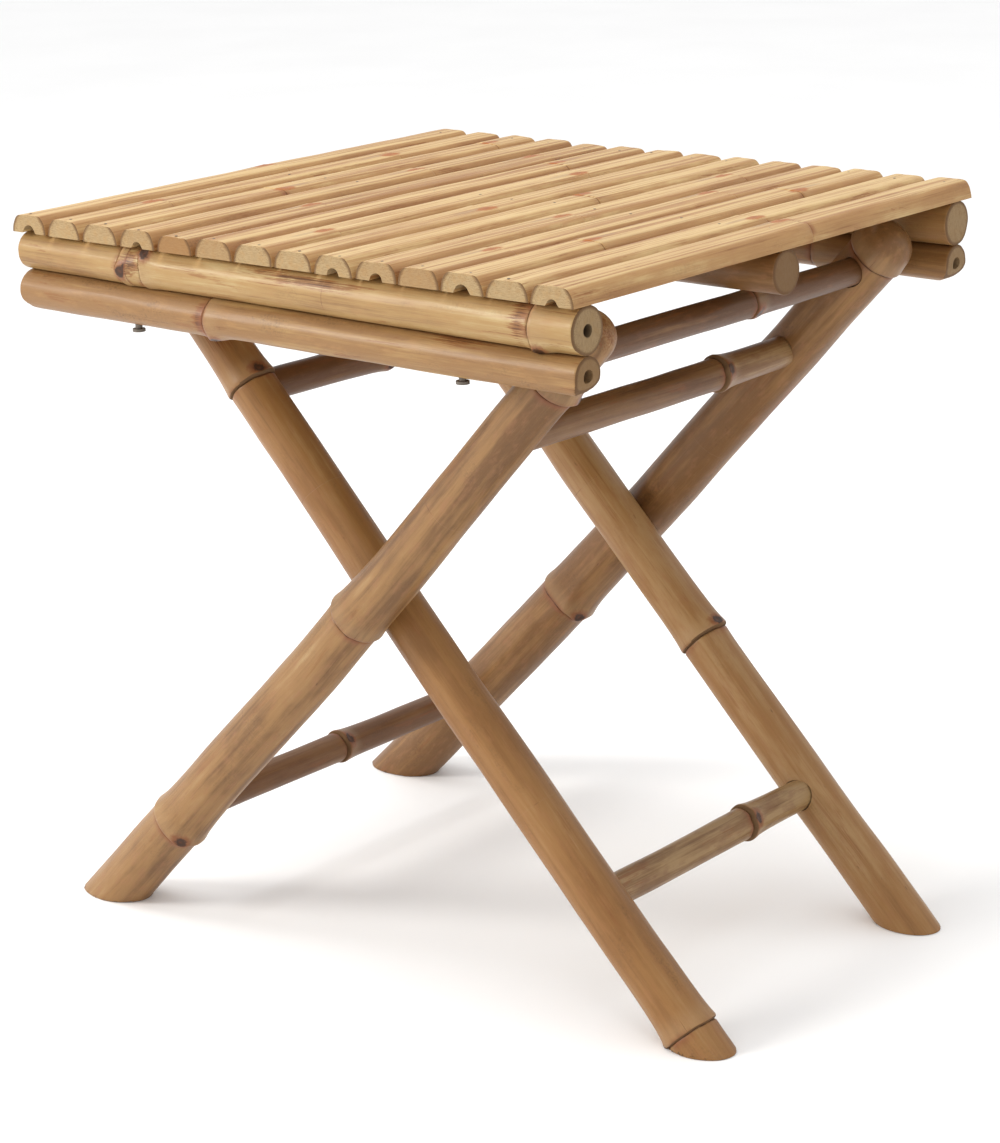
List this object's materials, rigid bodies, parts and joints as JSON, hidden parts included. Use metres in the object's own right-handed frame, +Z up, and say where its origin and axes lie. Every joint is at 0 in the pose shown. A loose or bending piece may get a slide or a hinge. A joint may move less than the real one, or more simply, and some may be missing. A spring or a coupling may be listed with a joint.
{
  "type": "folding side table",
  "caption": "Folding side table of bamboo poles: a square slatted top on two crossed leg frames that pivot at their middle and fold together.",
  "frame": {"origin": "centre of the bounding box at floor level, with the table open and standing", "axes": "+X along the rails, from the outer frame's feet to the inner frame's feet; +Y along the slats, towards the rear; +Z up"},
  "size_m": [0.5823, 0.47, 0.535],
  "materials": {
    "slat_bamboo": "half culms, sanded and clear lacquered, honey yellow",
    "rail_bamboo": "whole culms, pale straw, clear lacquered",
    "leg_bamboo": "whole culms, tan brown, satin",
    "bar_bamboo": "thin whole culms, dark brown, satin",
    "nail_steel": "dull steel"
  },
  "bodies": {
    "tabletop": {"slat_01": "slat_bamboo", "slat_02": "slat_bamboo", "slat_03": "slat_bamboo", "slat_04": "slat_bamboo", "slat_05": "slat_bamboo", "slat_06": "slat_bamboo", "slat_07": "slat_bamboo", "slat_08": "slat_bamboo", "slat_09": "slat_bamboo", "slat_10": "slat_bamboo", "slat_11": "slat_bamboo", "slat_12": "slat_bamboo", "slat_13": "slat_bamboo", "slat_14": "slat_bamboo", "front_upper_rail": "rail_bamboo", "rear_upper_rail": "rail_bamboo", "front_lower_rail": "rail_bamboo", "rear_lower_rail": "rail_bamboo", "middle_rail": "rail_bamboo", "stop_bar": "bar_bamboo", "top_axle": "bar_bamboo", "rail_bolt_front_left": "nail_steel", "rail_bolt_front_right": "nail_steel", "rail_bolt_rear_left": "nail_steel", "rail_bolt_rear_right": "nail_steel"},
    "outer_frame": {"outer_leg_front": "leg_bamboo", "outer_leg_rear": "leg_bamboo", "outer_upper_bar": "bar_bamboo", "outer_lower_bar": "bar_bamboo", "pivot_dowel_front": "bar_bamboo", "pivot_dowel_rear": "bar_bamboo", "pivot_lock_nail_front": "nail_steel", "pivot_lock_nail_rear": "nail_steel"},
    "inner_frame": {"inner_leg_front": "leg_bamboo", "inner_leg_rear": "leg_bamboo", "inner_upper_bar": "bar_bamboo", "inner_lower_bar": "bar_bamboo"}
  },
  "joints": [
    {"name": "top_tilt", "type": "hinge", "parent": "outer_frame", "child": "tabletop", "pos_m": [0.19496, 0, 0.4759], "axis": [0, 1, 0], "range_deg": [0, 130]},
    {"name": "frame_fold", "type": "hinge", "parent": "outer_frame", "child": "inner_frame", "pos_m": [0.00235, 0, 0.26906], "axis": [0, 1, 0], "range_deg": [0, 76.7]}
  ],
  "couplings": [
    {"joint": "frame_fold", "follows": "top_tilt", "ratio": 0.59}
  ]
}
